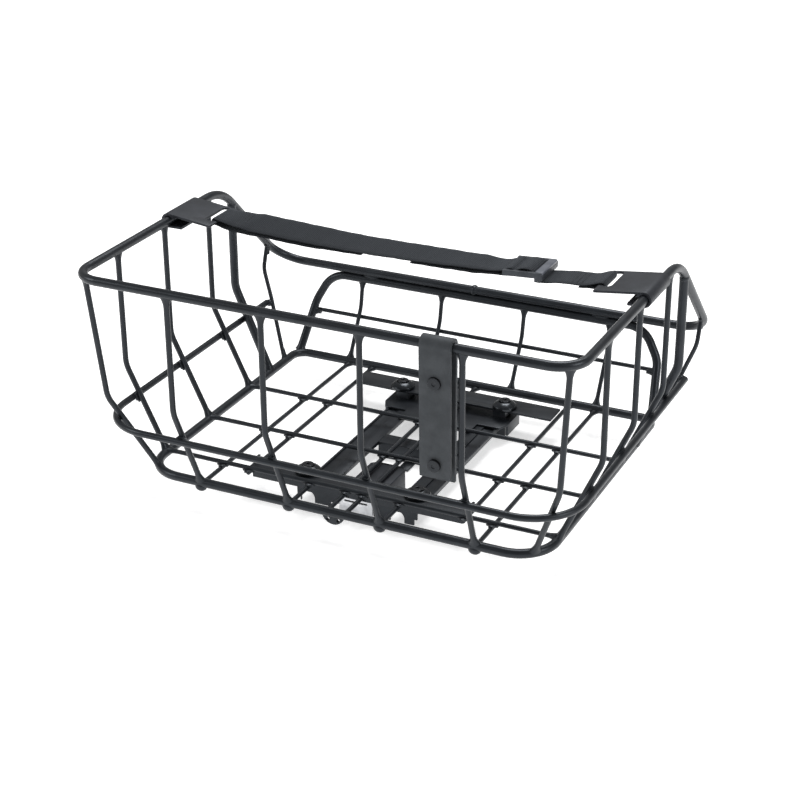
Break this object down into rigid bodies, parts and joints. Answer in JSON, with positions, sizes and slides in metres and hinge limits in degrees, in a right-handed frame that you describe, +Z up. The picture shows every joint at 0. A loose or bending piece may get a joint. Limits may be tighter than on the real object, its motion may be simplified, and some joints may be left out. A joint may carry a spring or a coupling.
{
  "type": "bicycle basket",
  "caption": "Welded wire bicycle basket with a low back, a webbing strap with clips and buckle across the mouth, a screwed front tab and a latching carrier adapter under the floor",
  "frame": {"origin": "on the flat underside of the carrier adapter, midway across the basket and midway along the base ring", "axes": "+X runs across the basket to the buckle's side, +Y runs from the front with the tab to the low back, +Z is up"},
  "size_m": [0.4532, 0.3564, 0.2163],
  "materials": {
    "black_coat": "satin black powder coat",
    "black_plastic": "satin moulded plastic",
    "black_screw": "black oxide",
    "zinc_steel": "zinc plated",
    "tab_rubber": "matte rubber",
    "webbing": "woven polyester",
    "buckle_dark": "satin",
    "buckle_light": "satin grey"
  },
  "bodies": {
    "basket": {"top_rim": "black_coat", "base_ring": "black_coat", "rear_arch": "black_coat", "mid_ring": "black_coat", "rear_post_left": "black_coat", "rear_post_right": "black_coat", "front_wire_1": "black_coat", "front_wire_2": "black_coat", "front_wire_3": "black_coat", "front_wire_4": "black_coat", "front_corner_wire_left": "black_coat", "front_corner_wire_right": "black_coat", "side_wire_left_1": "black_coat", "side_wire_left_2": "black_coat", "side_wire_left_3": "black_coat", "side_wire_right_1": "black_coat", "side_wire_right_2": "black_coat", "side_wire_right_3": "black_coat", "rear_corner_wire_left": "black_coat", "rear_corner_wire_right": "black_coat", "rear_wire_1": "black_coat", "rear_wire_2": "black_coat", "rear_wire_3": "black_coat", "rear_wire_4": "black_coat", "rear_cross_wire": "black_coat", "floor_cross_wire_1": "black_coat", "floor_cross_wire_2": "black_coat", "floor_cross_wire_3": "black_coat", "floor_long_wire_1": "black_coat", "floor_long_wire_2": "black_coat", "floor_long_wire_3": "black_coat", "floor_long_wire_4": "black_coat", "floor_short_wires": "black_coat", "floor_centre_wires": "black_coat", "front_cross_strip": "black_coat", "rear_cross_strip": "black_coat", "adapter_front_plate": "black_coat", "adapter_middle_plate": "black_coat", "adapter_rear_plate": "black_coat", "adapter_rail_left": "black_coat", "adapter_rail_right": "black_coat", "lamp_lug": "black_coat", "clamp_discs": "black_plastic", "latch_cover": "black_plastic", "clamp_bolts": "black_screw", "tab_screws": "black_screw", "tab_sleeves": "zinc_steel", "front_tab": "tab_rubber", "strap_long": "webbing", "strap_short": "webbing"},
    "clip_left": {"strap_clip_left": "black_plastic", "strap_loop_left": "webbing"},
    "clip_right": {"strap_clip_right": "black_plastic", "strap_loop_right": "webbing"},
    "buckle": {"buckle_frame": "buckle_dark", "buckle_bar": "buckle_light", "strap_bend": "webbing"},
    "latch": {"latch_plate": "zinc_steel"}
  },
  "joints": [
    {"name": "latch_slide", "type": "slide", "parent": "basket", "child": "latch", "axis": [0, 1, 0], "range_m": [0, 0.008], "stiffness_N_per_m": 500, "springref_m": -0.004},
    {"name": "clip_left_swing", "type": "hinge", "parent": "basket", "child": "clip_left", "pos_m": [-0.22, 0, 0.209], "axis": [0, 1, 0], "range_deg": [-12, 12]},
    {"name": "clip_right_swing", "type": "hinge", "parent": "basket", "child": "clip_right", "pos_m": [0.22, 0, 0.209], "axis": [0, 1, 0], "range_deg": [-12, 12]},
    {"name": "buckle_tilt", "type": "hinge", "parent": "basket", "child": "buckle", "pos_m": [0.126, 0.003, 0.2064], "axis": [0, 1, 0], "range_deg": [0, 25]}
  ]
}
